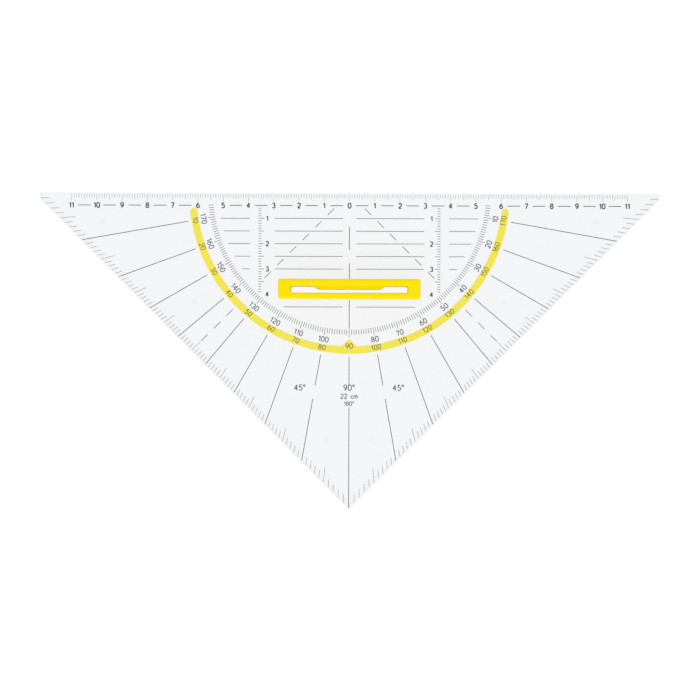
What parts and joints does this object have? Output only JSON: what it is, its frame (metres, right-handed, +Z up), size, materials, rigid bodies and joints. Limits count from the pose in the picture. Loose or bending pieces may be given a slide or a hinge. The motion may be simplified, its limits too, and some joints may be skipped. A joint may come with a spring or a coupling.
{
  "type": "protractor set square",
  "caption": "Clear right-angled set square with a protractor arc, degree marks along both legs, parallel lines, a centimetre scale and a removable yellow grip.",
  "frame": {"origin": "the zero mark in the middle of the long edge, on the surface that the set square lies on", "axes": "+X along the long edge towards the right-hand tip, +Y out of the long edge, +Z up from the paper towards the grip"},
  "size_m": [0.245, 0.125, 0.0113],
  "materials": {
    "clear_acrylic": "clear polished acrylic",
    "yellow_plastic": "semi-gloss moulded",
    "dark_ink": "printed",
    "yellow_ink": "printed"
  },
  "bodies": {
    "set_square": {"plate": "clear_acrylic", "feet": "clear_acrylic", "edge_scale": "dark_ink", "row_dashes": "dark_ink", "depth_scale_left": "dark_ink", "depth_scale_right": "dark_ink", "parallel_lines_inner": "dark_ink", "parallel_lines_outer": "dark_ink", "centre_line": "dark_ink", "diagonal_left": "dark_ink", "diagonal_right": "dark_ink", "protractor_ring": "dark_ink", "protractor_band": "yellow_ink", "rays_left": "dark_ink", "rays_right": "dark_ink", "leg_scale_left": "dark_ink", "leg_scale_right": "dark_ink"},
    "handle": {"grip": "yellow_plastic"}
  },
  "joints": [
    {"name": "grip_lift", "type": "slide", "parent": "set_square", "child": "handle", "axis": [0, 0, 1], "range_m": [0, 0.015]}
  ]
}
